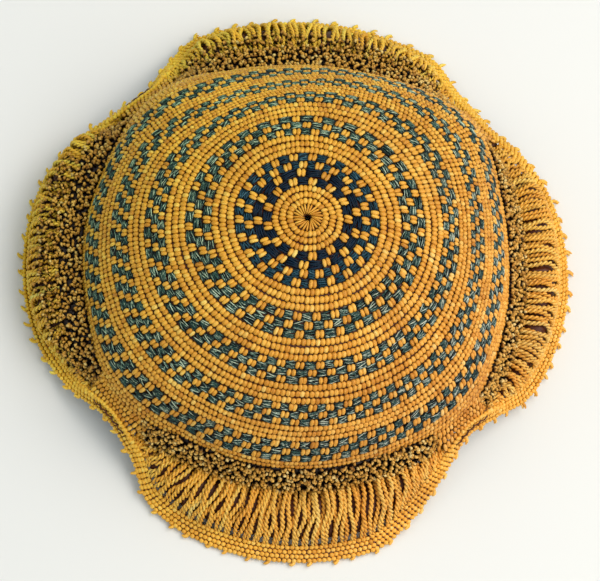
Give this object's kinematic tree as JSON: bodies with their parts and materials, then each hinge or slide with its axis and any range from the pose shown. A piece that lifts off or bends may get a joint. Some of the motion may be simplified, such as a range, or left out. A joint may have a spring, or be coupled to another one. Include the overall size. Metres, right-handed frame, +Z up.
{
  "type": "raffia prestige cap",
  "caption": "Domed raffia cap with coiled check bands and a loop pile, over a twisted-cord brim drawn in at tucks and edged with picots.",
  "frame": {"origin": "on the floor plane, under the middle of the cap's outline", "axes": "+Z up through the crown, -Y towards the lobe that faces the viewer, +X to the viewer's right"},
  "size_m": [0.2458, 0.2592, 0.076],
  "materials": {
    "hitched_raffia": "close hitches of dyed raffia, ochre with bands of indigo checks",
    "pile_raffia": "short twisted raffia loops over dark gaps",
    "twisted_raffia": "two-ply twisted raffia cords laid side by side",
    "border_raffia": "rows of tight yellow-gold raffia hitches",
    "picot_raffia": "small frayed raffia points"
  },
  "bodies": {
    "root": {"crown": "hitched_raffia", "loop_pile": "pile_raffia", "cord_skirt": "twisted_raffia", "hitched_border": "border_raffia", "picot_edge": "picot_raffia"}
  },
  "joints": []
}
